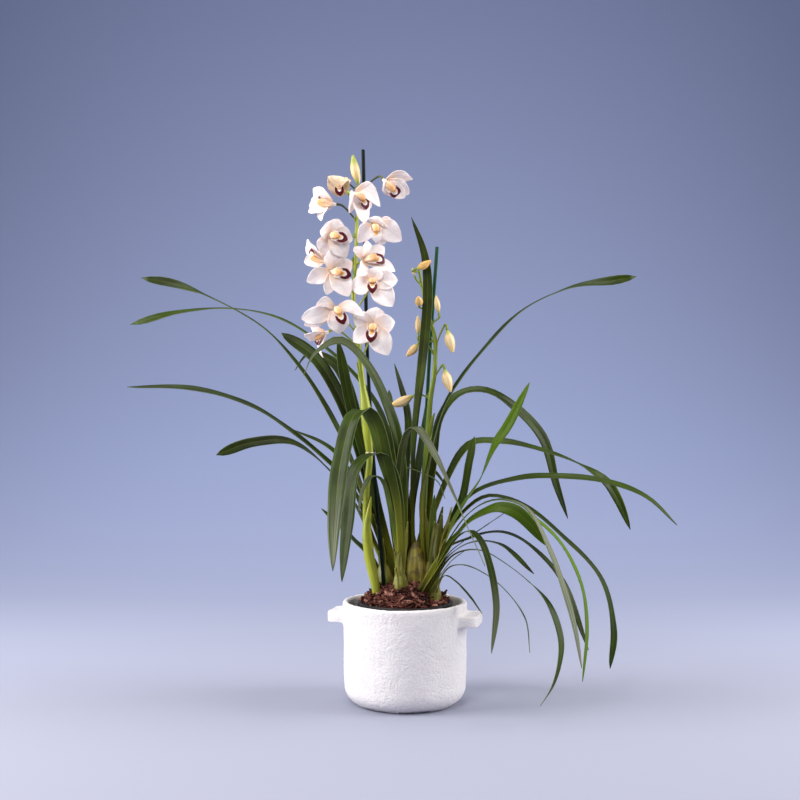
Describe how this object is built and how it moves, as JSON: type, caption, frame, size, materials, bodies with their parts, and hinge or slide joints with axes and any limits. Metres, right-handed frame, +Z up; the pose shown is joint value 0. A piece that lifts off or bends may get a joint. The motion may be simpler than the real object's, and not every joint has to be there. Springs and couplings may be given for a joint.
{
  "type": "potted orchid",
  "caption": "Boat orchid with arching strap leaves, one spike in bloom and one in bud, staked, rooted in bark in a nursery pot inside a white pot with two side lugs.",
  "frame": {"origin": "centre of the flat base of the outer pot, on the surface that the pot stands on", "axes": "+Z up, +X to the right and -Y to the front as the plant is seen in the picture"},
  "size_m": [0.7992, 0.3193, 0.7751],
  "materials": {
    "glaze": "matt white sanded glaze with a fine rough texture",
    "black_plastic": "satin moulded black",
    "bark": "dry red-brown bark and coir chips",
    "stake": "dark green coated cane",
    "leaf": "satin dark green leaf, paler beneath and at its base",
    "stalk": "satin yellow-green stem and sheaths",
    "tepal": "soft waxy white with a faint pink flush",
    "lip": "white throat with a deep crimson margin",
    "bud": "waxy cream-yellow, green at the base"
  },
  "bodies": {
    "root": {"pot": "glaze", "nursery_pot": "black_plastic", "substrate": "bark", "stake_tall": "stake", "stake_short": "stake", "shoot_1": "leaf", "shoot_2": "leaf", "shoot_3": "leaf", "shoot_4": "leaf", "shoot_5": "leaf", "shoot_6": "leaf", "flower_spike_tall": "stalk", "flower_spike_short": "stalk", "bloom_01": "tepal", "bloom_02": "tepal", "bloom_03": "tepal", "bloom_04": "tepal", "bloom_05": "tepal", "bloom_06": "tepal", "bloom_07": "tepal", "bloom_08": "tepal", "bloom_09": "tepal", "bloom_10": "tepal", "bloom_11": "tepal", "bloom_12": "tepal", "bloom_13": "tepal", "lip_01": "lip", "lip_02": "lip", "lip_03": "lip", "lip_04": "lip", "lip_05": "lip", "lip_06": "lip", "lip_07": "lip", "lip_08": "lip", "lip_09": "lip", "lip_10": "lip", "lip_11": "lip", "lip_12": "lip", "lip_13": "lip", "bud_01": "bud", "bud_02": "bud", "bud_03": "bud", "bud_04": "bud", "bud_05": "bud", "bud_06": "bud", "bud_07": "bud", "bud_08": "bud", "bud_09": "bud", "bud_10": "bud", "bud_11": "bud"}
  },
  "joints": []
}
